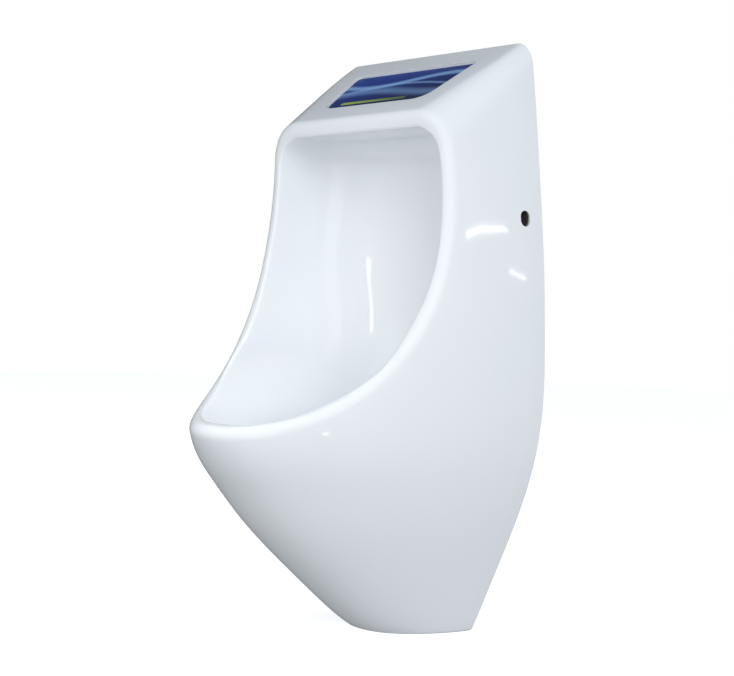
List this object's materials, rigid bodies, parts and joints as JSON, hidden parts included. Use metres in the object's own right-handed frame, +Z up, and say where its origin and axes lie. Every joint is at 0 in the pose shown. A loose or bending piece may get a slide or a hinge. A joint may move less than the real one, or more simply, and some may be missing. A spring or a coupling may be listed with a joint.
{
  "type": "waterless urinal",
  "caption": "Wall-hung waterless urinal: scooped moulded shell and bowl, sloping display hood, lift-out trap cartridge with float valve, wall bracket and rear outlet.",
  "frame": {"origin": "middle of the shell's lower edge, on the wall plane", "axes": "+X to the right of someone facing it, +Y into the wall, +Z up"},
  "size_m": [0.3704, 0.382, 0.7],
  "materials": {
    "white_shell": "polished white moulded shell",
    "white_bowl": "polished white moulded bowl",
    "clear_cover": "clear acrylic",
    "display_print": "blue printed card",
    "zinc_sheet": "zinc-plated sheet",
    "stainless": "stainless fasteners",
    "grey_housing": "grey moulded polypropylene",
    "grey_pipe": "grey drain pipe",
    "black_rubber": "black seal rubber",
    "strainer_white": "satin white grille",
    "frosted_dome": "frosted translucent dome",
    "blue_block": "pressed blue cleaning block",
    "cup_plastic": "satin translucent white cup",
    "float_plastic": "blue float"
  },
  "bodies": {
    "urinal": {"outer_shell": "white_shell", "bowl": "white_bowl", "display_card": "display_print", "wall_bracket": "zinc_sheet", "bracket_nuts": "stainless", "side_washers": "stainless", "side_screws": "stainless", "trap_housing": "grey_housing", "housing_gasket": "black_rubber", "slip_washer": "strainer_white", "housing_nut": "grey_housing", "outlet_pipe": "grey_pipe", "outlet_seal": "black_rubber"},
    "trap_cartridge": {"strainer_disc": "strainer_white", "dome": "frosted_dome", "cleaning_block": "blue_block", "cartridge_cup": "cup_plastic", "cartridge_seal": "black_rubber", "guide_spider": "cup_plastic"},
    "float_valve": {"float_bell": "float_plastic", "float_seal": "black_rubber", "float_stem": "float_plastic"},
    "display_lid": {"display_cover": "clear_cover"}
  },
  "joints": [
    {"name": "trap_lift", "type": "slide", "parent": "urinal", "child": "trap_cartridge", "axis": [0, 0, 1], "range_m": [0, 0.15]},
    {"name": "float_rise", "type": "slide", "parent": "trap_cartridge", "child": "float_valve", "axis": [0, 0, 1], "range_m": [0, 0.008]},
    {"name": "cover_lift", "type": "slide", "parent": "urinal", "child": "display_lid", "axis": [0, -0.5547, 0.8321], "range_m": [0, 0.03]}
  ]
}
